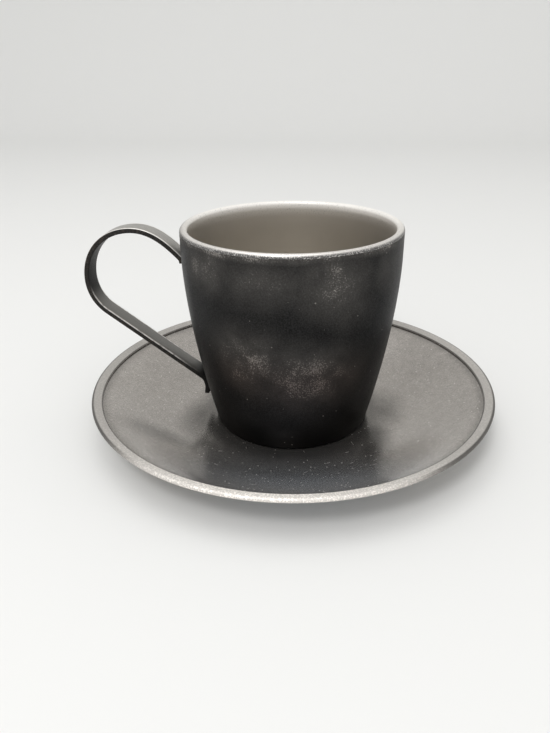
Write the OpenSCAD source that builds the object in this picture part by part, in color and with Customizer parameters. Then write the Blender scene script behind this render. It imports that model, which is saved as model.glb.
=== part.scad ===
// Coffee cup with saucer: a double-walled steel cup with a bent strap handle, standing on a
// pressed steel saucer with a folded rim. The origin is the middle of the flat that the
// saucer stands on, +Z is up and the handle points along -X.

/* [Cup] */
// Outside diameter of the cup
cup_d = 77; // [70:0.5:90]
// Height of the cup, from its foot to the top of its lip
cup_h = 74; // [68:0.5:90]
// Diameter at which the wall, carried on down, would meet the flat that the cup stands on
foot_d = 57.5; // [52:0.5:64]
// Height of the straight band of wall at the top of the cup
straight_h = 11; // [6:0.5:16]
// How the wall draws in towards the foot: 1 would be a cone, more is a rounder belly
draw_in = 1.65; // [1.4:0.05:2]
// Thickness of the rounded lip, over both walls and the air gap
lip_t = 2.7; // [2.2:0.1:3.6]
// Thickness of the sheet that both walls and the base plate are pressed from
cup_sheet = 0.6; // [0.4:0.05:0.8]
// Outside radius of the corner between the wall and the foot
foot_corner_r = 1.5; // [1:0.25:3]
// Diameter of the base plate
plate_d = 46; // [30:0.5:47]
// Depth from the foot up to the underside of the base plate
plate_recess = 1; // [0.5:0.1:2]
// Height of the liner's floor above the foot
floor_h = 5; // [4:0.25:9]
// Inside radius of the corner between the liner's wall and its floor
liner_corner_r = 9; // [5:0.5:14]

/* [Handle] */
// Width of the strap
strap_w = 7.6; // [5:0.1:11]
// Thickness of the strap
strap_t = 1.8; // [1.2:0.1:2.4]
// How far the loop reaches out from the side of the cup
loop_reach = 38; // [32:0.5:44]
// Height of the top of the loop above the foot
loop_top_h = 72; // [70:0.5:76]
// Height of the upper end of the strap above the foot
upper_end_h = 59.6; // [56:0.2:61]
// Height of the lower end of the strap above the foot
tail_h = 7.4; // [6:0.2:8.4]
// Length of the lower pad, which runs along the wall above the tail
pad_l = 1.4; // [1:0.2:3]
// Thickness of the weld that holds the pad off the wall
weld_t = 0.7; // [0.4:0.1:1]
// Radius of the strap's middle line where the loop turns into the lower arm
arm_bend_r = 15; // [10:0.5:18]
// Radius of the strap's middle line where the lower arm turns down along the wall
pad_bend_r = 3.5; // [3:0.5:6]

/* [Saucer] */
// Outside diameter of the saucer
saucer_d = 150; // [144:0.5:170]
// Height of the saucer
saucer_h = 15.5; // [12:0.25:20]
// Thickness of the sheet that the saucer is pressed from
saucer_sheet = 0.8; // [0.6:0.05:1.2]
// Diameter of the flat well in the middle
well_d = 72; // [68:0.5:84]
// Width of the edge that is folded back on top of the rim
hem_w = 3.8; // [2.5:0.1:6]
// Slope of the dish where it meets the folded edge, in degrees
rim_slope = 16; // [8:1:24]

/* [Hidden] */

// Facets round the axis, steps along a long curve and steps round a corner
round_fn = 128;
curve_steps = 24;
corner_steps = 8;
solve_steps = 8;

// Cup: the lip is a half round over the air gap, and the belly is all below the straight band
lip_r = lip_t / 2;
lip_h = cup_h - lip_r;
belly_h = cup_h - straight_h;
belly_depth = (cup_d - foot_d) / 2;
plate_r = plate_d / 2;

// Handle: the short flange at the upper end, the tail that hangs free of the wall at the
// lower end, how far the weld stays inside the strap's edges, and the slopes and shares that
// give the loop its ear shape
flange_l = 0.6;
flange_bend_r = 2;
upper_slope = 46.5;
tail_l = 3.9;
tail_lift = 1.1;
weld_inset = 1;
apex_share = 0.48;
upper_pull_share = 0.36;
loop_pull_share = 0.57;

// Outside wall of the cup at a height above the foot: its radius, and its lean from upright
function drawn(z) = max(0, 1 - z / belly_h);
function wall_r(z) = cup_d / 2 - belly_depth * pow(drawn(z), draw_in);
function lean(z) = atan(belly_depth * draw_in / belly_h * pow(drawn(z), draw_in - 1));

// Point at a depth under the outside wall, square to it
function under_wall(z, depth) = [wall_r(z) - depth * cos(lean(z)), z + depth * sin(lean(z))];

// Height on the outside wall that a corner's middle is square to, for a corner of radius r
// between a level floor and the skin at this depth under the wall
function corner_z(floor, r, depth, z, n) =
    n == 0 ? z : corner_z(floor, r, depth, floor + r - (depth + r) * sin(lean(z)), n - 1);

// Skin at a depth under the wall, from a corner up to the lip
function skin(depth, z_low) =
    [for (i = [0:curve_steps]) under_wall(z_low + (lip_h - z_low) * i / curve_steps, depth)];

function heading(a) = [cos(a), sin(a)];
function backwards(points) = [for (i = [len(points) - 1:-1:0]) points[i]];
function arc(middle, r, from, to, n) =
    [for (i = [0:n]) middle + r * heading(from + (to - from) * i / n)];
function rest(points) = [for (i = [1:len(points) - 1]) points[i]];

// Smooth curve that leaves p along a and reaches q along b, without its first point
function curve(p, a, b, q, n) =
    [for (i = [1:n]) let (t = i / n, s = 1 - t)
        s * s * s * p + 3 * s * s * t * (p + a) + 3 * s * t * t * (q - b) + t * t * t * q];

// The shell's corner at the foot, and the liner's at its floor
shell_z = corner_z(0, foot_corner_r, 0, 0, solve_steps);
shell_middle = under_wall(shell_z, foot_corner_r);
liner_z = corner_z(floor_h, liner_corner_r, lip_t, floor_h, solve_steps);
liner_middle = under_wall(liner_z, lip_t + liner_corner_r);

function shell_corner(r) = arc(shell_middle, r, -90, -lean(shell_z), corner_steps);
function liner_corner(r) = arc(liner_middle, r, -90, -lean(liner_z), corner_steps);

module outer_shell() {
    color([0.25, 0.25, 0.26])
    translate([0, 0, saucer_sheet])
    rotate_extrude($fn = round_fn)
    polygon(concat(
        [[plate_r, 0]],
        shell_corner(foot_corner_r),
        skin(0, shell_z),
        backwards(skin(cup_sheet, shell_z)),
        backwards(shell_corner(foot_corner_r - cup_sheet)),
        [[plate_r, cup_sheet]]));
}

module inner_liner() {
    lip_middle = [cup_d / 2 - lip_r, lip_h];
    color([0.55, 0.53, 0.5])
    translate([0, 0, saucer_sheet])
    rotate_extrude($fn = round_fn)
    polygon(concat(
        [[0, floor_h]],
        liner_corner(liner_corner_r),
        skin(lip_t, liner_z),
        arc(lip_middle, lip_r, 180, 0, 2 * corner_steps),
        arc(lip_middle, lip_r - cup_sheet, 0, 180, 2 * corner_steps),
        backwards(skin(lip_t - cup_sheet, liner_z)),
        backwards(liner_corner(liner_corner_r + cup_sheet)),
        [[0, floor_h - cup_sheet]]));
}

// Shallow pan, let into the hole in the foot and welded round its edge
module base_plate() {
    inner_r = plate_r - cup_sheet;
    plate_top = plate_recess + cup_sheet;
    color([0.25, 0.25, 0.26])
    translate([0, 0, saucer_sheet])
    rotate_extrude($fn = round_fn)
    polygon([
        [0, plate_recess],
        [inner_r, plate_recess],
        [inner_r, 0],
        [plate_r, 0],
        [plate_r, plate_top],
        [0, plate_top]]);
}

// The handle is drawn by its middle line, as [distance from the cup's axis, height above the
// foot]. Its upper end is bedded into the round wall, so that the strap's full width bears, and
// its lower end stands off the wall on a weld.
function bed(z) = wall_r(z) - sqrt(pow(wall_r(z), 2) - pow(strap_w / 2, 2));
function on_wall(z) = under_wall(z, bed(z) - strap_t / 2);
function off_wall(z) = under_wall(z, bed(z) - strap_t / 2 - weld_t);

// Upper end: a short flange up the wall, then a tight bend out to the slope of the loop
flange_low = on_wall(upper_end_h);
flange_high = flange_low + [0, flange_l];
flange_middle = flange_high + [flange_bend_r, 0];
upper_out = flange_middle + flange_bend_r * heading(90 + upper_slope);

// Loop: its apex, and the waist where it is furthest out
loop_out = cup_d / 2 + loop_reach - strap_t / 2;
apex = [cup_d / 2 + loop_reach * apex_share, loop_top_h - strap_t / 2];
loop_r = loop_out - apex[0];
waist_z = apex[1] - loop_r;
upper_pull = norm(apex - upper_out) * upper_pull_share;
loop_pull = loop_r * loop_pull_share;

// Lower end: the pad along the wall, the tail that hangs off it, and the weld behind the pad
pad_low = off_wall(tail_h + tail_l);
pad_high = off_wall(tail_h + tail_l + pad_l);
pad_way = (pad_low - pad_high) / norm(pad_low - pad_high);
tail = pad_low + tail_l * pad_way + [tail_lift, 0];
tail_pull = tail_l / 3;
to_wall = (strap_t / 2 + weld_t + cup_sheet) * [pad_way[1], -pad_way[0]];
weld_face = [pad_low, pad_high, pad_high + to_wall, pad_low + to_wall];

// Lower arm: the straight line that touches the bend under the waist and the bend at the pad
arm_middle = [loop_out - arm_bend_r, waist_z];
pad_middle = pad_high + pad_bend_r * [-pad_way[1], pad_way[0]];
between = pad_middle - arm_middle;
arm_angle = atan2(between[1], between[0]) + 360 - asin((arm_bend_r + pad_bend_r) / norm(between));
pad_angle = atan2(pad_high[1] - pad_middle[1], pad_high[0] - pad_middle[0]);

function strap_line() = concat(
    [flange_low],
    arc(flange_middle, flange_bend_r, 180, 90 + upper_slope, corner_steps),
    curve(upper_out, upper_pull * heading(upper_slope), [upper_pull, 0], apex, curve_steps),
    curve(apex, [loop_pull, 0], [0, -loop_pull], [loop_out, waist_z], curve_steps),
    rest(arc(arm_middle, arm_bend_r, 0, arm_angle - 270, 2 * corner_steps)),
    arc(pad_middle, pad_bend_r, arm_angle - 90, pad_angle, corner_steps),
    [pad_low],
    curve(pad_low, tail_pull * pad_way, [0, -tail_pull], tail, corner_steps));

// One face of the strap: its middle line moved sideways
function strap_face(line, side) =
    [for (i = [0:len(line) - 1])
        let (way = line[min(i + 1, len(line) - 1)] - line[max(i - 1, 0)])
        line[i] + side * [-way[1], way[0]] / norm(way)];

module handle() {
    line = strap_line();
    face = concat(strap_face(line, strap_t / 2), backwards(strap_face(line, -strap_t / 2)));
    color([0.42, 0.41, 0.4])
    translate([0, 0, saucer_sheet])
    difference() {
        rotate([90, 0, 0])
        union() {
            linear_extrude(height = strap_w, center = true)
            polygon([for (p = face) [-p[0], p[1]]]);
            linear_extrude(height = strap_w - 2 * weld_inset, center = true)
            polygon([for (p = weld_face) [-p[0], p[1]]]);
        }
        rotate_extrude($fn = round_fn)
        polygon(concat([[0, 0]], shell_corner(foot_corner_r), skin(0, shell_z), [[0, lip_h]]));
    }
}

// Saucer: the dish rises from the well to a crease, where the edge is folded back on top
well_r = well_d / 2;
crease_r = saucer_d / 2 - hem_w;
dish_w = crease_r - well_r;
hem_run = (hem_w - saucer_sheet) / cos(rim_slope);
dish_rise = saucer_h - 2 * saucer_sheet - hem_run * sin(rim_slope);
rim_pull = tan(rim_slope) * dish_w / dish_rise;

// Height of the dish above the well's floor and its slope, at a share u of the way outwards
function dish_z(u) = dish_rise * u * u * (3 - rim_pull + (rim_pull - 2) * u);
function dish_slope(u) = atan(dish_rise / dish_w * u * (6 - 2 * rim_pull + 3 * (rim_pull - 2) * u));
function dish_face(depth) =
    [for (i = [0:curve_steps]) let (u = i / curve_steps, a = dish_slope(u))
        [well_r + u * dish_w, saucer_sheet + dish_z(u)] + depth * [sin(a), -cos(a)]];

module saucer() {
    along = heading(rim_slope);
    up = heading(rim_slope + 90);
    edge_r = saucer_sheet / 2;
    crease = [crease_r, saucer_sheet + dish_rise];
    color([0.5, 0.49, 0.47])
    rotate_extrude($fn = round_fn)
    polygon(concat(
        [[0, saucer_sheet]],
        dish_face(0),
        arc(crease + edge_r * (along + up), edge_r, rim_slope + 180, rim_slope + 90, corner_steps),
        arc(crease + hem_run * along, saucer_sheet, rim_slope + 90, rim_slope - 90, 2 * corner_steps),
        backwards(dish_face(saucer_sheet)),
        [[0, 0]]));
}

saucer();
outer_shell();
inner_liner();
base_plate();
handle();
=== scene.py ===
"""Steel coffee cup on its saucer: the visual model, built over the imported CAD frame.

Everything is in metres in the frame of the CAD: the origin is the middle of the flat that the
saucer stands on, +Z is up and the handle points along -X. The file is laid out as an add-on: the
sizes and colours are properties of the scene, each piece has its operator, and a panel in the
sidebar lists them.
"""

import math

import bpy
from mathutils import Matrix, Vector


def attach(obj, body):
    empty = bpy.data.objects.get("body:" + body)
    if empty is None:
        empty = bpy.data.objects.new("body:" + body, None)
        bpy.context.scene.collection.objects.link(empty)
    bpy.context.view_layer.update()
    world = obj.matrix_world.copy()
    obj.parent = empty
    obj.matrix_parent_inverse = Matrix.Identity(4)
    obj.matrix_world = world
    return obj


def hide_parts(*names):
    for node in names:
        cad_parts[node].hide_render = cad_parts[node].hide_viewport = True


bl_info = {
    "name": "Steel cup and saucer",
    "version": (1, 0, 0),
    "blender": (4, 5, 0),
    "location": "View3D > Sidebar > Tableware",
    "description": "Builds a steel coffee cup with a strap handle, and the saucer that it stands on",
    "category": "Add Mesh",
}

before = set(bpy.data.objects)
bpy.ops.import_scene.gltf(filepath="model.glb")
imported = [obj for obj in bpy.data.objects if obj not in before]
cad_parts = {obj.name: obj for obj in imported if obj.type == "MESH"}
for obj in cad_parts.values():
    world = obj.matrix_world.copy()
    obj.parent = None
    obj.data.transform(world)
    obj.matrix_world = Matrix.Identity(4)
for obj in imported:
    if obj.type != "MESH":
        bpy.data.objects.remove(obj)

ROUND_STEPS = 192
CURVE_STEPS = 48
CORNER_STEPS = 10
UPPER_STEPS = 24
LOOP_STEPS = 30
ARM_STEPS = 20
TAIL_STEPS = 8
CORNER_ROUNDS = 12

# In metres: how near two points are merged, and how far the edges of the cup's pieces are rounded
MERGED = 0.000004
SHEET_EDGE = 0.00012
BASE_EDGE = 0.00025

# How far a scratch bows sideways, per metre of distance from its middle, squared
SCRATCH_BOW = 60.0

# Where the cup's dark skin is rubbed off: the middle of each patch, its reach and its strength
WORN_PATCHES = (
    ((0.0170, -0.0337, 0.0660), (0.020, 0.018, 0.020), 0.70),
    ((0.0215, -0.0310, 0.0570), (0.014, 0.014, 0.015), 0.34),
    ((-0.0115, -0.0344, 0.0370), (0.023, 0.020, 0.019), 0.88),
    ((0.0090, -0.0339, 0.0325), (0.033, 0.026, 0.019), 0.82),
    ((-0.0060, -0.0380, 0.0660), (0.030, 0.016, 0.013), 0.42),
    ((-0.0250, -0.0280, 0.0680), (0.019, 0.018, 0.013), 0.74),
    ((0.0320, -0.0180, 0.0660), (0.014, 0.016, 0.012), 0.35),
    ((0.0200, 0.0310, 0.0580), (0.020, 0.018, 0.014), 0.50),
    ((-0.0240, 0.0260, 0.0400), (0.018, 0.016, 0.014), 0.45),
)
# Where shade and reflections are painted on the dish, with the same three values: the handle's reflection
# under it, the cup's reflection and shade by the foot, and shade on the right
SHADE_AND_REFLECTION_PLACES = (
    ((-0.0440, -0.0320, 0.003), (0.024, 0.010, 0.03), 0.45),
    ((0.0340, 0.0020, 0.003), (0.015, 0.024, 0.03), 0.60),
    ((0.0315, -0.0155, 0.003), (0.011, 0.024, 0.03), 0.80),
    ((-0.0340, -0.0090, 0.003), (0.012, 0.025, 0.03), 0.66),
    ((0.0640, -0.0040, 0.008), (0.040, 0.060, 0.05), 0.13),
)

# The stage, in metres and degrees
FLOOR_SIZE = 4.0
WALL_DISTANCE = 1.2
WALL_HEIGHT = 2.0
SWEEP_RADIUS = 0.35
LAMPS_AIM = (0.0, 0.0, 0.03)
CAMERA_PLACE = (0.02266, -0.21179, 0.126)
CAMERA_TILT = 63.474
CAMERA_TURN = 7.828
CAMERA_ROLL = -0.809
CAMERA_LENS_MM = 30.45


# Properties: the sizes of the pieces and the colours of the steel


def length(name, description, default):
    return bpy.props.FloatProperty(
        name=name, description=description, default=default, min=0.0, max=0.5,
        precision=5, subtype="DISTANCE", unit="LENGTH",
    )


def angle(name, description, degrees):
    return bpy.props.FloatProperty(
        name=name, description=description, default=math.radians(degrees),
        min=0.0, max=math.pi / 2, subtype="ANGLE", unit="ROTATION",
    )


def share(name, description, default, high=1.0):
    return bpy.props.FloatProperty(
        name=name, description=description, default=default, min=0.0, max=high, subtype="FACTOR",
    )


def colour(name, description, default):
    return bpy.props.FloatVectorProperty(
        name=name, description=description, default=default, min=0.0, max=1.0,
        size=3, subtype="COLOR",
    )


class CupSizes(bpy.types.PropertyGroup):
    width: length("Width", "Outside diameter of the cup", 0.077)
    height: length("Height", "From the foot to the top of the lip", 0.074)
    foot_width: length("Foot width", "Diameter at which the wall would meet the flat under it", 0.0575)
    straight: length("Straight band", "Height of the straight band of wall at the top", 0.011)
    draw_in: share("Draw in", "How the wall draws in: 1 would be a cone", 1.65, high=3.0)
    lip: length("Lip", "Thickness of the rounded lip", 0.0027)
    sheet: length("Sheet", "Thickness of the sheet of the shell, liner and base", 0.0006)
    corner: length("Foot corner", "Outside radius of the corner at the foot", 0.0015)
    plate_width: length("Base width", "Diameter of the base plate", 0.046)
    plate_recess: length("Base recess", "From the foot up to the base plate", 0.001)
    floor: length("Floor height", "From the foot up to the liner's floor", 0.005)
    floor_corner: length("Floor corner", "Inside radius of the corner at the liner's floor", 0.009)


class HandleSizes(bpy.types.PropertyGroup):
    width: length("Width", "Width of the strap", 0.0076)
    thickness: length("Thickness", "Thickness of the strap", 0.0018)
    edge: length("Edge", "How far the strap's edges are rounded", 0.0003)
    reach: length("Reach", "How far the loop stands out from the cup", 0.038)
    top: length("Top", "Height of the top of the loop", 0.072)
    upper_end: length("Upper end", "Height of the upper end of the strap", 0.0596)
    flange: length("Flange", "Length of the flange at the upper end", 0.0006)
    flange_bend: length("Flange bend", "Radius of the bend at the flange", 0.002)
    upper_slope: angle("Upper slope", "Slope of the strap where it leaves the flange", 46.5)
    apex_share: share("Apex", "Where the top of the loop is, as a share of the reach", 0.48)
    upper_pull: share("Upper pull", "Fullness of the curve up to the top", 0.36)
    loop_pull: share("Loop pull", "Fullness of the curve down to the waist", 0.57)
    arm_bend: length("Arm bend", "Radius where the loop turns into the lower arm", 0.015)
    pad_bend: length("Pad bend", "Radius where the lower arm turns down the wall", 0.0035)
    pad: length("Pad", "Length of the pad that runs along the wall", 0.0014)
    weld: length("Weld", "Thickness of the weld that holds the pad off the wall", 0.0007)
    weld_inset: length("Weld inset", "How far the weld stays inside the strap's edges", 0.001)
    tail: length("Tail", "Length of the tail under the pad", 0.0039)
    tail_lift: length("Tail lift", "How far the tail stands away from the wall", 0.0011)
    tail_end: length("Tail end", "Height of the lower end of the strap", 0.0074)


class SaucerSizes(bpy.types.PropertyGroup):
    width: length("Width", "Outside diameter of the saucer", 0.15)
    height: length("Height", "Height of the saucer", 0.0155)
    sheet: length("Sheet", "Thickness of the sheet", 0.0008)
    well: length("Well", "Diameter of the flat in the middle", 0.072)
    hem: length("Folded edge", "Width of the edge that is folded back", 0.0038)
    rim_slope: angle("Rim slope", "Slope of the dish at the folded edge", 16.0)


class SteelLook(bpy.types.PropertyGroup):
    shell: colour("Shell", "Dark steel of the cup's body", (0.0134, 0.0135, 0.0140))
    worn: colour("Worn", "Steel where the dark skin is rubbed off", (0.40, 0.375, 0.35))
    rust: colour("Brown", "Brownish steel in the lower worn patches", (0.33, 0.265, 0.235))
    # The lip colour also paints the highlight high up at the back of the liner, and on the handle's rubbed
    # arris
    lip: colour("Lip", "Bright steel of the lip", (0.88, 0.85, 0.81))
    liner: colour("Liner", "Satin steel of the inside", (0.64, 0.604, 0.548))
    # This bluish colour is a painted reflection at the front of the saucer
    reflection_tint: colour("Cold", "Bluish steel at the front of the saucer", (0.40, 0.425, 0.46))
    dish: colour("Dish", "Satin steel of the saucer", (0.50, 0.47, 0.44))
    rim: colour("Rim", "Rubbed steel of the saucer's rim", (0.50, 0.475, 0.445))
    # Grime in the pits; the same colour paints shade in the crease, round the cup's foot, at the rim's outer
    # edge and under the folded edge
    grime_and_shade: colour("Grime", "What has gathered in the crease and the pits", (0.03, 0.028, 0.026))
    strap: colour("Strap", "Brushed steel of the handle", (0.46, 0.445, 0.42))
    # Also the painted shade on the handle's lower end and on the arris that faces down
    strap_side_and_shade: colour("Strap side", "Dark side of the handle's strap", (0.022, 0.021, 0.020))
    strap_stain: colour("Strap stain", "Brownish stains on that side", (0.060, 0.048, 0.038))


class StageLook(bpy.types.PropertyGroup):
    floor: colour("Floor", "Colour of the floor and the backdrop", (0.80, 0.80, 0.79))
    world: share("World", "Strength of the light from all round", 0.8, high=5.0)
    key: share("Key", "Power of the large lamp overhead, in watts", 2.2, high=100.0)
    front: share("Front", "Power of the small lamp in front, in watts", 2.4, high=100.0)


# Outlines: points are (distance from the axis, height) in metres


def heading(a):
    return Vector((math.cos(a), math.sin(a)))


def arc(middle, r, start, end, steps):
    return [middle + r * heading(start + (end - start) * i / steps) for i in range(steps + 1)]


def curve(p, a, b, q, steps):
    """Smooth curve that leaves p along a and reaches q along b, without its first point."""
    points = []
    for i in range(1, steps + 1):
        t = i / steps
        s = 1 - t
        points.append(s**3 * p + 3 * s * s * t * (p + a) + 3 * s * t * t * (q - b) + t**3 * q)
    return points


class Wall:
    """The outside of the cup's wall, which draws in towards the foot. Heights are above the foot."""

    def __init__(self, cup):
        self.rim_r = cup.width / 2
        self.depth = (cup.width - cup.foot_width) / 2
        self.belly = cup.height - cup.straight
        self.power = cup.draw_in

    def drawn(self, z):
        return max(0.0, 1 - z / self.belly)

    def radius(self, z):
        return self.rim_r - self.depth * self.drawn(z) ** self.power

    def lean(self, z):
        return math.atan(self.depth * self.power / self.belly * self.drawn(z) ** (self.power - 1))

    def under(self, z, depth):
        """The point at a depth under the wall, square to it."""
        a = self.lean(z)
        return Vector((self.radius(z) - depth * math.cos(a), z + depth * math.sin(a)))

    def skin(self, depth, low, high):
        return [self.under(low + (high - low) * i / CURVE_STEPS, depth) for i in range(CURVE_STEPS + 1)]

    def corner(self, floor, r, depth):
        """Where a corner of radius r, between a level floor and the skin, meets that skin."""
        z = floor
        for _ in range(CORNER_ROUNDS):
            z = floor + r - (depth + r) * math.sin(self.lean(z))
        return z

    def corner_arc(self, z, r, depth, offset=0.0):
        """That corner from the floor round to the skin, moved outwards by offset."""
        middle = self.under(z, depth + r)
        return arc(middle, r + offset, -math.pi / 2, -self.lean(z), CORNER_STEPS)


def raised(points, height):
    return [p + Vector((0, height)) for p in points]


def shell_outline(cup):
    wall = Wall(cup)
    lip_h = cup.height - cup.lip / 2
    low = wall.corner(0, cup.corner, 0)
    plate_r = cup.plate_width / 2
    return (
        [Vector((plate_r, 0))]
        + wall.corner_arc(low, cup.corner, 0)
        + wall.skin(0, low, lip_h)[1:]
        + wall.skin(cup.sheet, low, lip_h)[::-1]
        + wall.corner_arc(low, cup.corner, 0, -cup.sheet)[::-1][1:]
        + [Vector((plate_r, cup.sheet))]
    )


def body_outline(cup):
    """The cup's outside up to its lip, filled."""
    wall = Wall(cup)
    low = wall.corner(0, cup.corner, 0)
    lip_h = cup.height - cup.lip / 2
    outside = wall.corner_arc(low, cup.corner, 0) + wall.skin(0, low, lip_h)[1:]
    return [Vector((0, 0))] + outside + [Vector((0, lip_h))]


def liner_outline(cup):
    wall = Wall(cup)
    lip_r = cup.lip / 2
    lip_h = cup.height - lip_r
    lip_middle = Vector((cup.width / 2 - lip_r, lip_h))
    low = wall.corner(cup.floor, cup.floor_corner, cup.lip)
    outside = cup.lip - cup.sheet
    return (
        [Vector((0, cup.floor))]
        + wall.corner_arc(low, cup.floor_corner, cup.lip)
        + wall.skin(cup.lip, low, lip_h)[1:]
        + arc(lip_middle, lip_r, math.pi, 0, 3 * CORNER_STEPS)[1:]
        + arc(lip_middle, lip_r - cup.sheet, 0, math.pi, 2 * CORNER_STEPS)
        + wall.skin(outside, low, lip_h)[::-1][1:]
        + wall.corner_arc(low, cup.floor_corner, cup.lip, cup.sheet)[::-1][1:]
        + [Vector((0, cup.floor - cup.sheet))]
    )


def base_outline(cup):
    plate_r = cup.plate_width / 2
    inner_r = plate_r - cup.sheet
    top = cup.plate_recess + cup.sheet
    return [
        Vector((0, cup.plate_recess)),
        Vector((inner_r, cup.plate_recess)),
        Vector((inner_r, 0)),
        Vector((plate_r, 0)),
        Vector((plate_r, top)),
        Vector((0, top)),
    ]


def saucer_outline(saucer):
    """From the middle of the well over the dish and the folded edge, and back underneath."""
    well_r = saucer.well / 2
    slope = saucer.rim_slope
    crease_r = saucer.width / 2 - saucer.hem
    dish_w = crease_r - well_r
    hem_run = (saucer.hem - saucer.sheet) / math.cos(slope)
    rise = saucer.height - 2 * saucer.sheet - hem_run * math.sin(slope)
    pull = math.tan(slope) * dish_w / rise

    def dish(depth):
        points = []
        for i in range(CURVE_STEPS + 1):
            u = i / CURVE_STEPS
            z = rise * u * u * (3 - pull + (pull - 2) * u)
            a = math.atan(rise / dish_w * u * (6 - 2 * pull + 3 * (pull - 2) * u))
            place = Vector((well_r + u * dish_w, saucer.sheet + z))
            points.append(place + depth * Vector((math.sin(a), -math.cos(a))))
        return points

    square = slope + math.pi / 2
    along = heading(slope)
    up = heading(square)
    edge_r = saucer.sheet / 2
    crease = Vector((crease_r, saucer.sheet + rise))
    return (
        [Vector((0, saucer.sheet))]
        + dish(0)
        + arc(crease + edge_r * (along + up), edge_r, square + math.pi, square, 2 * CORNER_STEPS)
        + arc(crease + hem_run * along, saucer.sheet, square, square - math.pi, 2 * CORNER_STEPS)
        + dish(saucer.sheet)[::-1]
        + [Vector((0, 0))]
    )


def beside_wall(cup, handle, z, gap=0.0):
    """Where the strap's middle line is, if its edges are this far from the round wall."""
    wall = Wall(cup)
    r = wall.radius(z)
    bed = r - math.sqrt(r * r - (handle.width / 2) ** 2)
    return wall.under(z, bed - handle.thickness / 2 - gap)


def pad_ends(cup, handle):
    """The lower and the upper end of the pad."""
    low = handle.tail_end + handle.tail
    return beside_wall(cup, handle, low, handle.weld), beside_wall(cup, handle, low + handle.pad, handle.weld)


def strap_line(cup, handle):
    """The strap's middle line from the upper end to the lower, as (distance from the axis, height)."""
    half = handle.thickness / 2
    start = beside_wall(cup, handle, handle.upper_end)
    flange_middle = start + Vector((handle.flange_bend, handle.flange))
    upper_out = flange_middle + handle.flange_bend * heading(math.pi / 2 + handle.upper_slope)

    loop_out = cup.width / 2 + handle.reach - half
    apex = Vector((cup.width / 2 + handle.reach * handle.apex_share, handle.top - half))
    loop_r = loop_out - apex.x
    waist = Vector((loop_out, apex.y - loop_r))
    upper_pull = (apex - upper_out).length * handle.upper_pull
    loop_pull = loop_r * handle.loop_pull

    pad_low, pad_high = pad_ends(cup, handle)
    way = (pad_low - pad_high).normalized()
    tail = pad_low + handle.tail * way + Vector((handle.tail_lift, 0))

    arm_middle = Vector((loop_out - handle.arm_bend, waist.y))
    pad_middle = pad_high + handle.pad_bend * Vector((-way.y, way.x))
    between = pad_middle - arm_middle
    touch = math.asin((handle.arm_bend + handle.pad_bend) / between.length)
    arm_angle = math.atan2(between.y, between.x) + 2 * math.pi - touch
    pad_angle = math.atan2(pad_high.y - pad_middle.y, pad_high.x - pad_middle.x)

    upper = heading(handle.upper_slope)
    return (
        [start]
        + arc(flange_middle, handle.flange_bend, math.pi, math.pi / 2 + handle.upper_slope, CORNER_STEPS)
        + curve(upper_out, upper_pull * upper, Vector((upper_pull, 0)), apex, UPPER_STEPS)
        + curve(apex, Vector((loop_pull, 0)), Vector((0, -loop_pull)), waist, LOOP_STEPS)
        + arc(arm_middle, handle.arm_bend, 0, arm_angle - 1.5 * math.pi, ARM_STEPS)[1:]
        + arc(pad_middle, handle.pad_bend, arm_angle - math.pi / 2, pad_angle, CORNER_STEPS)
        + [pad_low]
        + curve(pad_low, handle.tail / 3 * way, Vector((0, -handle.tail / 3)), tail, TAIL_STEPS)
    )


# Modelling


def new_piece(name, size=0.001):
    """A small plane at the origin, in edit mode with all of it selected."""
    if bpy.context.object and bpy.context.object.mode != "OBJECT":
        bpy.ops.object.mode_set(mode="OBJECT")
    bpy.ops.object.select_all(action="DESELECT")
    bpy.ops.mesh.primitive_plane_add(size=size, location=(0, 0, 0))
    obj = bpy.context.object
    obj.name = obj.data.name = name
    bpy.context.tool_settings.mesh_select_mode = (True, False, False)
    bpy.ops.object.mode_set(mode="EDIT")
    bpy.ops.mesh.select_all(action="SELECT")
    return obj


def turned(name, outline, closed=False):
    """A round piece: its outline is drawn from one point by extruding it, and spun about the axis."""
    obj = new_piece(name)
    bpy.ops.mesh.merge(type="CENTER")
    bpy.ops.transform.translate(value=(outline[0].x, 0, outline[0].y))
    loop = outline + [outline[0]] if closed else outline
    for here, there in zip(loop, loop[1:]):
        step = there - here
        bpy.ops.mesh.extrude_region_move(TRANSFORM_OT_translate={"value": (step.x, 0, step.y)})
    bpy.ops.mesh.select_all(action="SELECT")
    bpy.ops.mesh.spin(steps=ROUND_STEPS, angle=2 * math.pi, center=(0, 0, 0), axis=(0, 0, 1))
    bpy.ops.mesh.select_all(action="SELECT")
    bpy.ops.mesh.remove_doubles(threshold=MERGED)
    bpy.ops.mesh.normals_make_consistent(inside=False)
    bpy.ops.object.mode_set(mode="OBJECT")
    return obj


def bevel(obj, width, segments=3, degrees=40.0):
    """Rounds the edges that are sharper than an angle."""
    use(obj)
    bpy.ops.object.modifier_add(type="BEVEL")
    modifier = obj.modifiers[-1]
    modifier.width = width
    modifier.segments = segments
    modifier.limit_method = "ANGLE"
    modifier.angle_limit = math.radians(degrees)
    bpy.ops.object.modifier_apply(modifier=modifier.name)


def combine(obj, other, operation):
    """Joins the other solid to this one, or cuts it away. The other is used up."""
    use(obj)
    bpy.ops.object.modifier_add(type="BOOLEAN")
    modifier = obj.modifiers[-1]
    modifier.operation = operation
    modifier.solver = "EXACT"
    modifier.object = other
    bpy.ops.object.modifier_apply(modifier=modifier.name)
    bpy.data.objects.remove(other)


def smooth(obj, degrees=35.0):
    use(obj)
    bpy.ops.object.shade_smooth_by_angle(angle=math.radians(degrees))


def use(obj):
    bpy.ops.object.select_all(action="DESELECT")
    obj.select_set(True)
    bpy.context.view_layer.objects.active = obj


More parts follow.
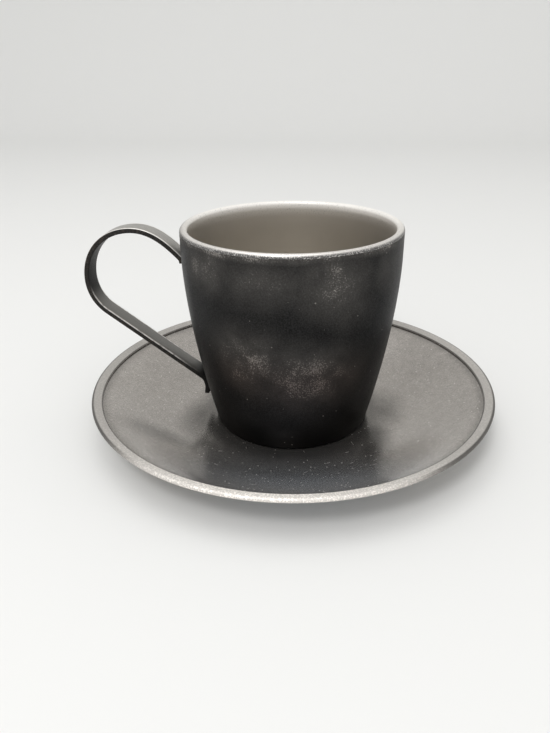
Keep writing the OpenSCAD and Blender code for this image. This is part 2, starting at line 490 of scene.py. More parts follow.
def strap(name, line, width, thickness):
    """A flat strap: its cross-section is extruded along the middle line, and turned with it."""
    obj = new_piece(name, size=1.0)

    def way(i):
        return line[min(i + 1, len(line) - 1)] - line[max(i - 1, 0)]

    def slope(i):
        return math.atan2(way(i).y, way(i).x)

    # The plane's X becomes the strap's width along Y, and its Y the thickness, square to the line
    bpy.ops.transform.resize(value=(thickness, width, 1))
    bpy.ops.transform.translate(value=(-line[0].x, 0, line[0].y))
    turn_section(slope(0) - math.pi / 2, line[0])
    for i in range(1, len(line)):
        step = line[i] - line[i - 1]
        bpy.ops.mesh.extrude_region_move(TRANSFORM_OT_translate={"value": (-step.x, 0, step.y)})
        turn = (slope(i) - slope(i - 1) + math.pi) % (2 * math.pi) - math.pi
        turn_section(turn, line[i])
    bpy.ops.mesh.select_all(action="SELECT")
    bpy.ops.mesh.normals_make_consistent(inside=False)
    bpy.ops.object.mode_set(mode="OBJECT")
    return obj


def turn_section(turn, at):
    """Turns the selected section about its middle, as seen in the outline's plane."""
    bpy.ops.transform.rotate(
        value=-turn, orient_axis="Y", orient_type="GLOBAL", center_override=(-at.x, 0, at.y),
    )


def unwrap_strap(obj, line):
    """Lays two maps on the strap, in metres.

    One is along its length and across its width, the other how far outside the middle line.
    """
    lengths = [0.0]
    for here, there in zip(line, line[1:]):
        lengths.append(lengths[-1] + (there - here).length)
    places = []
    for vertex in obj.data.vertices:
        p = Vector((-vertex.co.x, vertex.co.z))
        best = (1.0, 0.0, 0.0)
        for i, (here, there) in enumerate(zip(line, line[1:])):
            step = there - here
            t = min(1.0, max(0.0, (p - here).dot(step) / step.length_squared))
            off = (p - here - t * step).length
            if off < best[0]:
                side = step.x * (p - here).y - step.y * (p - here).x
                best = (off, lengths[i] + t * step.length, math.copysign(off, side))
        places.append((best[1], vertex.co.y, best[2]))
    along = obj.data.uv_layers.new(name="Strap")
    depth = obj.data.uv_layers.new(name="Depth")
    for loop in obj.data.loops:
        place = places[loop.vertex_index]
        along.data[loop.index].uv = place[:2]
        depth.data[loop.index].uv = (place[2], 0.0)


def finish_piece(obj, node, body, material):
    obj.data.materials.clear()
    obj.data.materials.append(material)
    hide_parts(node)
    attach(obj, body)


# Materials


class Graph:
    """Adds nodes to a tree. An input is a socket to link, or a value to set."""

    def __init__(self, tree):
        self.tree = tree

    def add(self, kind, inputs=None, **settings):
        node = self.tree.nodes.new(kind)
        for name, value in settings.items():
            setattr(node, name, value)
        for key, value in (inputs or {}).items():
            self.feed(node.inputs[key], value)
        return node

    def feed(self, socket, value):
        if isinstance(value, bpy.types.NodeSocket):
            self.tree.links.new(value, socket)
        else:
            socket.default_value = value

    def maths(self, operation, a, b=0.0, clamp=False):
        return self.add("ShaderNodeMath", {0: a, 1: b}, operation=operation, use_clamp=clamp).outputs[0]

    def times(self, a, b):
        return self.maths("MULTIPLY", a, b)

    def most(self, a, b):
        return self.maths("MAXIMUM", a, b)

    def without(self, a):
        """What the value leaves of 1."""
        return self.maths("SUBTRACT", 1.0, a)

    def half_plus(self, a, b, clamp=False):
        """A half, and the product of the two values."""
        node = self.add("ShaderNodeMath", {0: a, 1: b, 2: 0.5}, operation="MULTIPLY_ADD", use_clamp=clamp)
        return node.outputs[0]

    def vector(self, operation, a, b=(0, 0, 0)):
        node = self.add("ShaderNodeVectorMath", {0: a, 1: b}, operation=operation)
        return node.outputs["Value" if operation == "LENGTH" else "Vector"]

    def split(self, vector):
        return self.add("ShaderNodeSeparateXYZ", {0: vector}).outputs

    def flat(self, x, y):
        """A vector without height."""
        return self.add("ShaderNodeCombineXYZ", {"X": x, "Y": y}).outputs[0]

    def noise(self, vector, scale, detail, roughness):
        inputs = {"Vector": vector, "Scale": scale, "Detail": detail, "Roughness": roughness}
        return self.add("ShaderNodeTexNoise", inputs).outputs[0]

    def fade(self, value, low, high, start=0.0, end=1.0):
        """From start to end, smoothly, as the value goes from low to high."""
        node = self.add(
            "ShaderNodeMapRange",
            {"Value": value, "From Min": low, "From Max": high, "To Min": start, "To Max": end},
            interpolation_type="SMOOTHSTEP",
        )
        return node.outputs["Result"]

    def blend(self, factor, a, b):
        """Colour a where the factor is 0 and colour b where it is 1."""
        node = self.add("ShaderNodeMix", data_type="RGBA")
        for index, value in ((0, factor), (6, a), (7, b)):
            if index and not isinstance(value, bpy.types.NodeSocket):
                value = tuple(value) + (1.0,)
            self.feed(node.inputs[index], value)
        return node.outputs[2]

    def group(self, name, **inputs):
        """The outputs of one of the shared groups."""
        node = self.add("ShaderNodeGroup", node_tree=shared(name))
        for key, value in inputs.items():
            self.feed(node.inputs[key.capitalize()], value)
        return node.outputs

    def mask(self, name, place, **inputs):
        return self.group(name, vector=place, **inputs)["Mask"]

    def spots(self, place, table, level=0.0):
        """The strongest of a table's soft spots and of a level."""
        for middle, reach, strength in table:
            spot = self.mask("Spot", place, middle=middle, reach=reach)
            level = self.most(level, self.times(spot, strength))
        return level


def tinted(base, amount):
    return tuple(amount * c for c in base)


def new_group(name, values, vectors=("Vector",), outputs=("Mask",)):
    """An empty group with its sockets. Returns its graph, and its input and output sockets."""
    tree = bpy.data.node_groups.new(name, "ShaderNodeTree")
    sockets = [(label, "INPUT", "NodeSocketVector") for label in vectors]
    sockets += [(label, "INPUT", "NodeSocketFloat") for label in values]
    sockets += [(label, "OUTPUT", "NodeSocketFloat") for label in outputs]
    for label, way, kind in sockets:
        tree.interface.new_socket(name=label, in_out=way, socket_type=kind)
    g = Graph(tree)
    return g, g.add("NodeGroupInput").outputs, g.add("NodeGroupOutput").inputs


def clouds_group():
    """Soft clouds of a size, between a low and a high level of the noise."""
    g, given, out = new_group("Clouds", ("Size", "Low", "High"))
    noise = g.noise(given["Vector"], g.maths("DIVIDE", 1.0, given["Size"]), 3.0, 0.55)
    g.feed(out["Mask"], g.fade(noise, given["Low"], given["High"]))
    return g.tree


def grain_group():
    """Fine bright grain: the more a place is worn, the more of it shows."""
    g, given, out = new_group("Grain", ("Size", "Wear"), outputs=("Mask", "Height"))
    noise = g.noise(given["Vector"], g.maths("DIVIDE", 1.0, given["Size"]), 2.0, 0.6)
    level = g.fade(given["Wear"], 0.0, 1.0, 0.78, 0.36)
    g.feed(out["Mask"], g.fade(noise, level, g.maths("ADD", level, 0.16)))
    g.feed(out["Height"], noise)
    return g.tree


def flecks_group():
    """Sparse round flecks, each of its own size."""
    g, given, out = new_group("Flecks", ("Spacing", "Radius", "Share"))
    scale = g.maths("DIVIDE", 1.0, given["Spacing"])
    cells = g.add("ShaderNodeTexVoronoi", {"Vector": given["Vector"], "Scale": scale}, feature="F1")
    chance = g.add("ShaderNodeSeparateColor", {"Color": cells.outputs["Color"]}).outputs
    away = g.times(cells.outputs["Distance"], given["Spacing"])
    radius = g.times(given["Radius"], g.maths("ADD", chance[1], 0.3))
    dot = g.fade(away, g.times(radius, 0.6), radius, 1.0, 0.0)
    g.feed(out["Mask"], g.times(dot, g.maths("LESS_THAN", chance[0], given["Share"])))
    return g.tree


def scratches_group():
    """Sparse short scratches on a flat, each at its own angle. Reads X and Y of the vector."""
    g, given, out = new_group("Scratches", ("Spacing", "Length", "Width", "Share"))
    scale = g.maths("DIVIDE", 1.0, given["Spacing"])
    cells = g.add(
        "ShaderNodeTexVoronoi", {"Vector": given["Vector"], "Scale": scale, "Randomness": 0.7},
        feature="F1", voronoi_dimensions="2D",
    ).outputs
    chance = g.add("ShaderNodeSeparateColor", {"Color": cells["Color"]}).outputs
    middle = g.split(cells["Position"])
    place = g.split(given["Vector"])
    flat = g.flat(*(g.maths("SUBTRACT", place[axis], middle[axis]) for axis in "XY"))
    turn = g.times(chance[1], 2 * math.pi)
    turned_flat = g.add("ShaderNodeVectorRotate", {"Vector": flat, "Angle": turn}, rotation_type="Z_AXIS")
    local = g.split(turned_flat.outputs[0])
    half = g.times(given["Length"], g.half_plus(chance[2], 0.35))
    lengthways = g.fade(g.maths("ABSOLUTE", local["X"]), g.times(half, 0.5), half, 1.0, 0.0)
    bow = g.times(g.times(local["X"], local["X"]), SCRATCH_BOW)
    off = g.maths("ABSOLUTE", g.maths("SUBTRACT", local["Y"], bow))
    across = g.fade(off, g.times(given["Width"], 0.3), given["Width"], 1.0, 0.0)
    chosen = g.maths("LESS_THAN", chance[0], given["Share"])
    g.feed(out["Mask"], g.times(g.times(lengthways, across), chosen))
    return g.tree


def spot_group():
    """A soft spot round a middle: 1 there, 0 at its reach."""
    g, given, out = new_group("Spot", (), vectors=("Vector", "Middle", "Reach"))
    away = g.vector("DIVIDE", g.vector("SUBTRACT", given["Vector"], given["Middle"]), given["Reach"])
    g.feed(out["Mask"], g.fade(g.vector("LENGTH", away), 0.0, 1.0, 1.0, 0.0))
    return g.tree


def brushing_group():
    """Fine lines along a strap, from its map in metres."""
    g, given, out = new_group("Brushing", ("Run", "Pitch"))
    place = g.split(given["Vector"])
    lines = g.flat(g.maths("DIVIDE", place["X"], given["Run"]), g.maths("DIVIDE", place["Y"], given["Pitch"]))
    g.feed(out["Mask"], g.fade(g.noise(lines, 1.0, 3.0, 0.7), 0.3, 0.7))
    return g.tree


def round_group():
    """Distance from the axis and height of a point."""
    g, given, out = new_group("Round", (), outputs=("Radius", "Height"))
    place = g.split(given["Vector"])
    g.feed(out["Radius"], g.vector("LENGTH", g.flat(place["X"], place["Y"])))
    g.feed(out["Height"], place["Z"])
    return g.tree


def shared(name):
    """One of the node groups, made the first time that it is asked for."""
    makers = {
        "Clouds": clouds_group, "Grain": grain_group, "Flecks": flecks_group, "Scratches": scratches_group,
        "Spot": spot_group, "Brushing": brushing_group, "Round": round_group,
    }
    return bpy.data.node_groups.get(name) or makers[name]()


def new_steel(name):
    """A material of aged metal. Returns it, its graph, its shader and the object coordinates."""
    material = bpy.data.materials.new(name)
    material.use_nodes = True
    material.node_tree.nodes.clear()
    g = Graph(material.node_tree)
    shader = g.add("ShaderNodeBsdfPrincipled")
    output = g.add("ShaderNodeOutputMaterial")
    g.feed(output.inputs["Surface"], shader.outputs[0])
    place = g.add("ShaderNodeTexCoord").outputs["Object"]
    return material, g, shader, place


def add_bump(g, shader, height, distance, strength):
    bump = g.add("ShaderNodeBump", {"Height": height, "Distance": distance, "Strength": strength})
    g.feed(shader.inputs["Normal"], bump.outputs[0])


def shell_steel(look, cup, up):
    """Dark skin, rubbed off in patches under the lip and lower down, with fine bright grain, and painted
    shade towards the foot.
    """
    material, g, shader, place = new_steel("Dark worn steel")
    shader.inputs["Metallic"].default_value = 0.95
    shader.inputs["Specular Tint"].default_value = (0.72, 0.72, 0.72, 1.0)
    top = cup.height + up
    height = g.group("Round", vector=place)["Height"]
    cloud = g.mask("Clouds", place, size=0.007, low=0.25, high=0.75)
    wear = g.times(g.spots(place, WORN_PATCHES), g.half_plus(cloud, 0.5, clamp=True))
    # Just under the lip the skin is rubbed off nearly all the way round
    near_lip = g.fade(height, top - 0.0048, top - 0.0012, 0.0, 0.85)
    ragged = g.mask("Clouds", place, size=0.007, low=0.3, high=0.75)
    lip_wear = g.times(near_lip, g.half_plus(ragged, 0.5, clamp=True))
    wear = g.most(wear, lip_wear)
    base = g.mask("Clouds", place, size=0.03, low=0.25, high=0.75)
    wear = g.maths("ADD", wear, g.times(base, 0.075), clamp=True)

    fine = g.group("Grain", vector=place, size=0.00044, wear=wear)
    flecks = g.mask("Flecks", place, spacing=0.0026, radius=0.00026, share=0.50)
    brown = g.fade(height, 0.044, 0.030)
    bright = g.blend(g.times(brown, 0.8), look.worn, look.rust)
    # Painted shade: towards the foot the skin is darker
    low = g.fade(height, 0.002, 0.024, 0.0, 1.0)
    speckle = g.fade(fine["Height"], 0.30, 0.70)
    skin = g.blend(speckle, tinted(look.shell, 0.3), tinted(look.shell, 1.5))
    skin = g.blend(g.times(base, 0.18), skin, tinted(look.shell, 1.8))
    skin = g.blend(low, tinted(look.shell, 0.40), skin)
    haze = g.blend(g.times(wear, 0.28), skin, bright)
    painted = g.blend(g.times(fine["Mask"], g.times(wear, 0.72)), haze, bright)
    painted = g.blend(g.times(flecks, 0.45), painted, look.worn)
    g.feed(shader.inputs["Base Color"], painted)
    g.feed(shader.inputs["Roughness"], g.fade(fine["Height"], 0.3, 0.7, 0.46, 0.36))
    add_bump(g, shader, fine["Height"], 0.00006, 0.6)
    return material


def liner_steel(look, cup, up):
    """Smooth satin inside with a painted highlight high up at the back, and a bright rubbed lip."""
    material, g, shader, place = new_steel("Satin liner steel")
    top = cup.height + up
    rim_r = cup.width / 2
    round_place = g.group("Round", vector=place)
    radius = round_place["Radius"]
    outer = g.fade(radius, rim_r - 1.15 * cup.lip, rim_r - 0.9 * cup.lip)
    back = g.fade(g.split(place)["Y"], -0.022, 0.028)
    below = g.maths("SUBTRACT", top, round_place["Height"])
    # Painted highlight: at the back the bright lip colour reaches further down
    reach = g.fade(back, 0.0, 1.0, 0.0021, 0.0062)
    high = g.fade(below, reach, g.times(reach, 0.55))
    lip = g.times(outer, high)
    cloud = g.mask("Clouds", place, size=0.02, low=0.2, high=0.8)
    satin = g.blend(cloud, tinted(look.liner, 0.94), tinted(look.liner, 1.05))
    # Painted highlight: high up, and most at the back, the satin is blended towards the bright lip colour
    back_highlight = g.times(back, g.fade(below, 0.0040, 0.0008, 0.0, 0.8))
    near_lip = g.most(back_highlight, g.fade(below, 0.018, 0.001, 0.0, 0.30))
    satin = g.blend(near_lip, satin, look.lip)
    # The top is bright, and the outside has fine dark pits that thicken downwards
    fine = g.group("Grain", vector=place, size=0.00040, wear=0.62)
    outside = g.fade(radius, rim_r - 0.26 * cup.lip, rim_r - 0.02 * cup.lip)
    pits = g.times(outside, g.fade(fine["Mask"], 0.0, 1.0, 0.90, 0.35))
    pits = g.most(pits, g.fade(fine["Height"], 0.30, 0.44, 0.4, 0.0))
    rubbed = g.blend(pits, look.lip, tinted(look.shell, 3))
    # On the side towards the handle the outside of the lip has kept its dark skin
    kept = g.mask("Spot", place, middle=(-0.040, 0.004, top), reach=(0.018, 0.036, 0.02))
    edge = g.fade(radius, rim_r - 0.0017, rim_r - 0.0006)
    rubbed = g.blend(g.times(g.times(kept, edge), 0.42), rubbed, tinted(look.shell, 3))
    g.feed(shader.inputs["Base Color"], g.blend(lip, satin, rubbed))
    g.feed(shader.inputs["Roughness"], g.fade(lip, 0.0, 1.0, 0.34, 0.40))
    # High up at the back, under the painted highlight, the liner is less metallic, so it scatters the light
    # and is brighter for it
    g.feed(shader.inputs["Metallic"], g.fade(back_highlight, 0.0, 0.8, 0.95, 0.15))
    add_bump(g, shader, fine["Height"], 0.00002, 0.4)
    return material


def saucer_steel(look, saucer):
    """Satin dish with grain, flecks and scratches, and a rubbed rim. Shade is painted in the crease, round
    the foot and under the folded edge, a highlight at the rim's front and reflections on the dish.
    """
    material, g, shader, place = new_steel("Satin saucer steel")
    edge_r = saucer.width / 2
    crease_r = edge_r - saucer.hem
    round_place = g.group("Round", vector=place)
    radius = round_place["Radius"]
    cloud = g.mask("Clouds", place, size=0.035, low=0.25, high=0.75)
    fine = g.group("Grain", vector=place, size=0.00060, wear=0.50)
    mottle = g.mask("Clouds", place, size=0.0030, low=0.3, high=0.7)
    flecks = g.mask("Flecks", place, spacing=0.0016, radius=0.00025, share=0.7)
    scratch = g.mask("Scratches", place, spacing=0.0075, length=0.0015, width=0.00012, share=0.4)
    satin = g.blend(cloud, tinted(look.dish, 0.93), tinted(look.dish, 1.06))
    # Painted reflection: the front of the dish, where the cup is reflected, is tinted bluish
    reflection_tint = g.mask("Spot", place, middle=(0.008, -0.054, 0.003), reach=(0.060, 0.036, 0.05))
    satin = g.blend(g.times(reflection_tint, 0.9), satin, look.reflection_tint)
    satin = g.blend(g.fade(fine["Height"], 0.34, 0.56, 0.18, 0.0), satin, look.grime_and_shade)
    satin = g.blend(g.times(mottle, 0.10), satin, look.grime_and_shade)
    # Painted shade and the cup's reflection: the dish is darker in a band round the cup's foot, and in the
    # painted places listed at the top of the file
    foot_shade = g.times(g.fade(radius, 0.0425, 0.031, 0.0, 0.62), g.fade(radius, 0.0235, 0.0295))
    shade = g.spots(place, SHADE_AND_REFLECTION_PLACES, foot_shade)
    light = tinted(look.dish, 1.6)
    satin = g.blend(g.times(fine["Mask"], 0.38), satin, light)
    satin = g.blend(g.times(flecks, 0.6), satin, light)
    satin = g.blend(g.times(scratch, 0.45), satin, light)
    # Here the painted shade and reflections darken the satin
    satin = g.blend(shade, satin, tinted(look.grime_and_shade, 0.5))

    rim_grain = g.mask("Grain", place, size=0.0006, wear=0.68)
    # Painted highlight: the rim's colour is lighter towards the front
    front = g.mask("Spot", place, middle=(0.0, -0.078, 0.015), reach=(0.085, 0.055, 0.05))
    rubbed = g.blend(front, tinted(look.rim, 0.95), tinted(look.rim, 2.1))
    pits = g.fade(rim_grain, 0.0, 1.0, 0.45, 0.0)
    rim = g.blend(pits, rubbed, tinted(look.rim, 0.6))
    # Painted shade: away from the front the rim's outermost edge is dark
    outermost = g.fade(radius, edge_r - 0.0012, edge_r - 0.0004, 0.0, 0.75)
    outermost = g.times(outermost, g.without(g.fade(front, 0.0, 0.5)))
    rim = g.blend(outermost, rim, look.grime_and_shade)
    on_rim = g.fade(radius, crease_r + 0.00005, crease_r + 0.0003)
    painted = g.blend(on_rim, satin, rim)
    # Painted shade in the crease, and a softer painted shade on the dish just inside it
    away = g.maths("ABSOLUTE", g.maths("SUBTRACT", radius, crease_r + 0.0001))
    crease_shade = g.times(g.fade(away, 0.0001, 0.0003, 1.0, 0.0), 0.7)
    inside = g.times(g.fade(radius, crease_r - 0.0032, crease_r, 0.0, 0.32), g.without(on_rim))
    painted = g.blend(g.most(crease_shade, inside), painted, look.grime_and_shade)
    # Painted shadow on the underside of the folded edge
    height = round_place["Height"]
    under = g.fade(height, saucer.height - 1.35 * saucer.sheet, saucer.height - 1.8 * saucer.sheet)
    under = g.times(under, g.fade(radius, crease_r + 0.0006, crease_r + 0.0012))
    painted = g.blend(g.times(under, 0.75), painted, look.grime_and_shade)
    g.feed(shader.inputs["Base Color"], painted)
    g.feed(shader.inputs["Roughness"], g.fade(on_rim, 0.0, 1.0, 0.23, 0.46))
    # The rim's flat and what is dull on the dish are less metallic, so they take less of the reflections
    curl = g.fade(radius, edge_r - 1.2 * saucer.sheet, edge_r - 0.7 * saucer.sheet)
    flat = g.times(on_rim, g.fade(curl, 0.0, 1.0, 1.0, g.fade(front, 0.0, 0.6, 0.1, 0.6)))
    pale = g.times(g.times(reflection_tint, g.fade(radius, 0.036, 0.066)), 0.3)
    dull = g.most(g.times(g.most(flecks, scratch), 0.65), pale)
    metal = g.fade(flat, 0.0, 1.0, 0.85, 0.10)
    g.feed(shader.inputs["Metallic"], g.maths("SUBTRACT", metal, dull, clamp=True))
    add_bump(g, shader, g.maths("ADD", fine["Height"], scratch), 0.00004, 0.5)
    return material


def handle_steel(look, cup, handle, up):
    """Brushed along its length, with dark sides and edges rubbed bright. A highlight is painted on the arris
    that faces up, and shade on the other arris and at the lower end.
    """
    material, g, shader, place = new_steel("Brushed strap steel")
    shader.inputs["Roughness"].default_value = 0.36
    shader.inputs["Specular IOR Level"].default_value = 0.05
    strap_map = g.add("ShaderNodeUVMap", uv_map="Strap").outputs[0]
    lines = g.mask("Brushing", strap_map, run=0.014, pitch=0.00026)
    streaks = g.mask("Brushing", strap_map, run=0.03, pitch=0.0009)
    grain = g.mask("Grain", place, size=0.0004, wear=0.5)
    stains = g.mask("Clouds", place, size=0.0011, low=0.45, high=0.75)
    at = g.split(place)
    across = g.maths("ABSOLUTE", at["Y"])
    half = handle.width / 2
    side = g.fade(across, half - 0.00008, half - 0.00002)
    edge = g.fade(across, half - 0.00085, half - 0.0004)
    edge = g.times(edge, g.without(side))
    face = g.blend(g.times(lines, 0.4), tinted(look.strap, 0.9), tinted(look.strap, 1.7))
    face = g.blend(g.times(streaks, 0.35), face, tinted(look.strap, 0.55))
    # The inside of the loop has kept its dark skin, from its top down to under its waist
    depth = g.split(g.add("ShaderNodeUVMap", uv_map="Depth").outputs[0])["X"]
    inside = g.fade(depth, 0.0, -0.0004)
    waist = handle.top - handle.reach * (1 - handle.apex_share) + up
    far = g.fade(at["X"], -cup.width / 2 - 0.2 * handle.reach, -cup.width / 2 - 0.6 * handle.reach)
    high = g.fade(at["Z"], waist - 0.011, waist - 0.002)
    kept = g.times(g.times(far, high), inside)
    face = g.blend(g.times(inside, 0.85), face, tinted(look.strap, 0.38))
    face = g.blend(g.times(kept, 0.97), face, tinted(look.strap_side_and_shade, 1.1))
    dark = g.blend(g.times(stains, 0.6), look.strap_side_and_shade, look.strap_stain)
    dark = g.blend(g.times(grain, 0.1), dark, look.strap)
    painted = g.blend(side, face, dark)
    # Painted shade: the lower end is dark all round, and the strap is dark near the wall a little above it
    pad_top = handle.tail_end + handle.tail + handle.pad + up
    end = g.fade(at["Z"], pad_top + 0.0035, pad_top + 0.0010)
    seat = -beside_wall(cup, handle, handle.tail_end).x
    wall_shade = g.fade(at["X"], seat - 0.0085, seat - 0.003)
    wall_shade = g.times(wall_shade, g.fade(at["Z"], pad_top + 0.012, pad_top + 0.008))
    end = g.most(end, wall_shade)
    painted = g.blend(end, painted, tinted(look.strap_side_and_shade, 0.5))
    skin = g.most(g.most(kept, side), end)
    worn = g.times(edge, g.fade(grain, 0.0, 1.0, 0.8, 1.0))
    worn = g.times(worn, g.fade(at["Z"], pad_top + 0.004, pad_top + 0.011))
    # The arris that faces up is rubbed and has a painted highlight: the outer one over the top, the inner one
    # on the lower arm
    outer = g.fade(depth, -0.0002, 0.0002)
    upper = g.fade(at["Z"], waist - 0.010, waist)
    rubbed = g.fade(upper, 0.0, 1.0, g.without(outer), outer)
    unrubbed_and_shaded = g.times(edge, g.without(rubbed))
    # Painted shade on the arris that faces down
    painted = g.blend(unrubbed_and_shaded, painted, look.strap_side_and_shade)
    broken = g.mask("Clouds", place, size=0.0018, low=0.3, high=0.55)
    rubbed = g.times(rubbed, g.most(upper, g.fade(broken, 0.0, 1.0, 0.35, 1.0)))
    worn = g.times(worn, rubbed)
    skin = g.most(g.most(skin, unrubbed_and_shaded), g.times(worn, 0.7))
    g.feed(shader.inputs["Metallic"], g.fade(skin, 0.0, 1.0, 0.9, 0.0))
    # Painted highlight, partly wear: the rubbed arris takes the bright lip colour
    painted = g.blend(worn, painted, look.lip)
    g.feed(shader.inputs["Base Color"], painted)
    add_bump(g, shader, lines, 0.00003, 0.6)
    return material


# Operators


def make_cup_part(context, name, outline_of, node, steel_of, edge=SHEET_EDGE, segments=2, closed=False):
    """One of the cup's round pieces. The cup stands on the saucer's well."""
    scene = context.scene
    cup = scene.tableware_cup
    up = scene.tableware_saucer.sheet
    obj = turned(name, raised(outline_of(cup), up), closed)
    bevel(obj, edge, segments)
    smooth(obj)
    finish_piece(obj, node, "cup", steel_of(scene.tableware_look, cup, up))
    return {"FINISHED"}


class TABLEWARE_OT_saucer(bpy.types.Operator):
    """Make the saucer: one pressed sheet with its edge folded back on top"""

    bl_idname = "tableware.saucer"
    bl_label = "Saucer"
    bl_options = {"REGISTER", "UNDO"}

    def execute(self, context):
        scene = context.scene
        obj = turned("Saucer_pressing", saucer_outline(scene.tableware_saucer))
        smooth(obj)
        material = saucer_steel(scene.tableware_look, scene.tableware_saucer)
        finish_piece(obj, "saucer", "saucer", material)
        return {"FINISHED"}


class TABLEWARE_OT_shell(bpy.types.Operator):
    """Make the cup's outside wall, with the corner and the flat of its foot"""

    bl_idname = "tableware.shell"
    bl_label = "Outer shell"
    bl_options = {"REGISTER", "UNDO"}

    def execute(self, context):
        return make_cup_part(
            context, "Cup_shell", shell_outline, "outer_shell", shell_steel, closed=True,
        )


class TABLEWARE_OT_liner(bpy.types.Operator):
    """Make the cup's inside wall and floor, with the lip that rolls over the air gap"""

    bl_idname = "tableware.liner"
    bl_label = "Inner liner"
    bl_options = {"REGISTER", "UNDO"}

    def execute(self, context):
        return make_cup_part(context, "Cup_liner", liner_outline, "inner_liner", liner_steel)


class TABLEWARE_OT_base(bpy.types.Operator):
    """Make the shallow pan that closes the foot of the shell"""

    bl_idname = "tableware.base"
    bl_label = "Base plate"
    bl_options = {"REGISTER", "UNDO"}

    def execute(self, context):
        return make_cup_part(
            context, "Cup_base", base_outline, "base_plate", shell_steel,
            edge=BASE_EDGE, segments=3,
        )


class TABLEWARE_OT_handle(bpy.types.Operator):
    """Make the handle: a flat strap bent to an ear, its ends fitted to the round wall"""

    bl_idname = "tableware.handle"
    bl_label = "Handle"
    bl_options = {"REGISTER", "UNDO"}

    def execute(self, context):
        scene = context.scene
        cup = scene.tableware_cup
        handle = scene.tableware_handle
        up = scene.tableware_saucer.sheet
        line = raised(strap_line(cup, handle), up)
        obj = strap("Cup_handle", line, handle.width, handle.thickness)
        bevel(obj, handle.edge, degrees=60.0)
        self.add_weld(obj, cup, handle, up)
        combine(obj, turned("Cutter", raised(body_outline(cup), up)), "DIFFERENCE")
        unwrap_strap(obj, line)
        smooth(obj)
        material = handle_steel(scene.tableware_look, cup, handle, up)
        finish_piece(obj, "handle", "cup", material)
        return {"FINISHED"}

    def add_weld(self, obj, cup, handle, up):
        """Adds the weld behind the pad. It reaches into the wall, where it is cut off."""
        low, high = pad_ends(cup, handle)
        way = (low - high).normalized()
        depth = handle.thickness / 2 + handle.weld + cup.sheet
        middle = [p + depth / 2 * Vector((way.y, -way.x)) for p in (high, low)]
        weld = strap("Weld", raised(middle, up), handle.width - 2 * handle.weld_inset, depth)
        combine(obj, weld, "UNION")


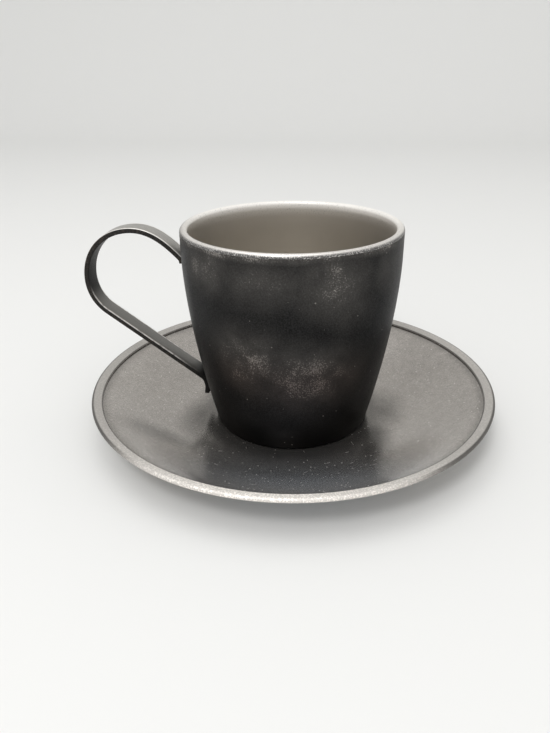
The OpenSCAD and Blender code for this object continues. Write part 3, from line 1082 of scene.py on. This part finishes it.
class TABLEWARE_OT_stage(bpy.types.Operator):
    """Make the plain floor and backdrop, the soft lights and the camera"""

    bl_idname = "tableware.stage"
    bl_label = "Stage"
    bl_options = {"REGISTER", "UNDO"}

    def execute(self, context):
        scene = context.scene
        look = scene.tableware_stage
        scene.view_settings.view_transform = "Standard"
        floor = self.make_floor(look)
        self.make_world(scene, look)
        self.make_lamp("Overhead", place=(-0.12, -0.12, 0.95), size=0.8, power=look.key)
        self.make_lamp("Front", place=(-0.12, -0.62, 0.80), size=0.25, power=look.front)
        self.make_camera(scene)
        return {"FINISHED"}

    def make_floor(self, look):
        """A level floor that sweeps up into a backdrop."""
        obj = new_piece("Floor", size=FLOOR_SIZE)
        bpy.ops.mesh.select_all(action="DESELECT")
        bpy.ops.object.mode_set(mode="OBJECT")
        for vertex in obj.data.vertices:
            vertex.select = vertex.co.y > 0
        for edge in obj.data.edges:
            edge.select = all(obj.data.vertices[i].co.y > 0 for i in edge.vertices)
        bpy.ops.object.mode_set(mode="EDIT")
        bpy.context.tool_settings.mesh_select_mode = (False, True, False)
        bpy.ops.transform.translate(value=(0, WALL_DISTANCE - FLOOR_SIZE / 2, 0))
        bpy.ops.mesh.extrude_region_move(TRANSFORM_OT_translate={"value": (0, 0, WALL_HEIGHT)})
        bpy.ops.object.mode_set(mode="OBJECT")
        bevel(obj, SWEEP_RADIUS, segments=16, degrees=30.0)
        smooth(obj, 60.0)
        material = bpy.data.materials.new("Floor paint")
        material.use_nodes = True
        shader = material.node_tree.nodes["Principled BSDF"]
        shader.inputs["Base Color"].default_value = tuple(look.floor) + (1.0,)
        shader.inputs["Roughness"].default_value = 0.9
        obj.data.materials.append(material)
        return obj

    def make_world(self, scene, look):
        world = bpy.data.worlds.new("Soft light")
        world.use_nodes = True
        background = world.node_tree.nodes["Background"]
        background.inputs["Color"].default_value = (1.0, 1.0, 0.99, 1.0)
        background.inputs["Strength"].default_value = look.world
        scene.world = world

    def make_lamp(self, name, place, size, power):
        """A round lamp that is aimed at the cup."""
        data = bpy.data.lights.new(name, "AREA")
        data.shape = "DISK"
        data.size = size
        data.energy = power
        lamp = bpy.data.objects.new(name, data)
        bpy.context.collection.objects.link(lamp)
        lamp.location = place
        lamp.rotation_euler = (Vector(LAMPS_AIM) - Vector(place)).to_track_quat("-Z", "Y").to_euler()

    def make_camera(self, scene):
        """The photograph's view: its lens, and where it was held."""
        data = bpy.data.cameras.new("Camera")
        data.lens = CAMERA_LENS_MM
        data.clip_start = 0.01
        camera = bpy.data.objects.new("Camera", data)
        bpy.context.collection.objects.link(camera)
        tilt = Matrix.Rotation(math.radians(CAMERA_TILT), 4, "X")
        turn = Matrix.Rotation(math.radians(CAMERA_TURN), 4, "Z")
        roll = Matrix.Rotation(math.radians(CAMERA_ROLL), 4, "Z")
        camera.matrix_world = Matrix.Translation(CAMERA_PLACE) @ turn @ tilt @ roll
        scene.camera = camera


class TABLEWARE_PT_panel(bpy.types.Panel):
    """Lists the sizes, the colours and the pieces"""

    bl_idname = "TABLEWARE_PT_panel"
    bl_label = "Cup and saucer"
    bl_space_type = "VIEW_3D"
    bl_region_type = "UI"
    bl_category = "Tableware"

    def draw(self, context):
        layout = self.layout
        for group in PROPERTY_GROUPS:
            box = layout.box()
            for name in group.__annotations__:
                box.prop(getattr(context.scene, PROPERTY_GROUPS[group]), name)
        for operator in PIECES:
            layout.operator(operator.bl_idname)


PROPERTY_GROUPS = {
    CupSizes: "tableware_cup",
    HandleSizes: "tableware_handle",
    SaucerSizes: "tableware_saucer",
    SteelLook: "tableware_look",
    StageLook: "tableware_stage",
}
PIECES = (
    TABLEWARE_OT_saucer,
    TABLEWARE_OT_shell,
    TABLEWARE_OT_liner,
    TABLEWARE_OT_base,
    TABLEWARE_OT_handle,
    TABLEWARE_OT_stage,
)


def register():
    for group, name in PROPERTY_GROUPS.items():
        bpy.utils.register_class(group)
        setattr(bpy.types.Scene, name, bpy.props.PointerProperty(type=group))
    for operator in PIECES:
        bpy.utils.register_class(operator)
    bpy.utils.register_class(TABLEWARE_PT_panel)


def unregister():
    bpy.utils.unregister_class(TABLEWARE_PT_panel)
    for operator in reversed(PIECES):
        bpy.utils.unregister_class(operator)
    for group, name in PROPERTY_GROUPS.items():
        delattr(bpy.types.Scene, name)
        bpy.utils.unregister_class(group)


def main():
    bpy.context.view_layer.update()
    register()
    bpy.ops.tableware.saucer()
    bpy.ops.tableware.shell()
    bpy.ops.tableware.liner()
    bpy.ops.tableware.base()
    bpy.ops.tableware.handle()
    bpy.ops.tableware.stage()


if __name__ == "__main__":
    main()
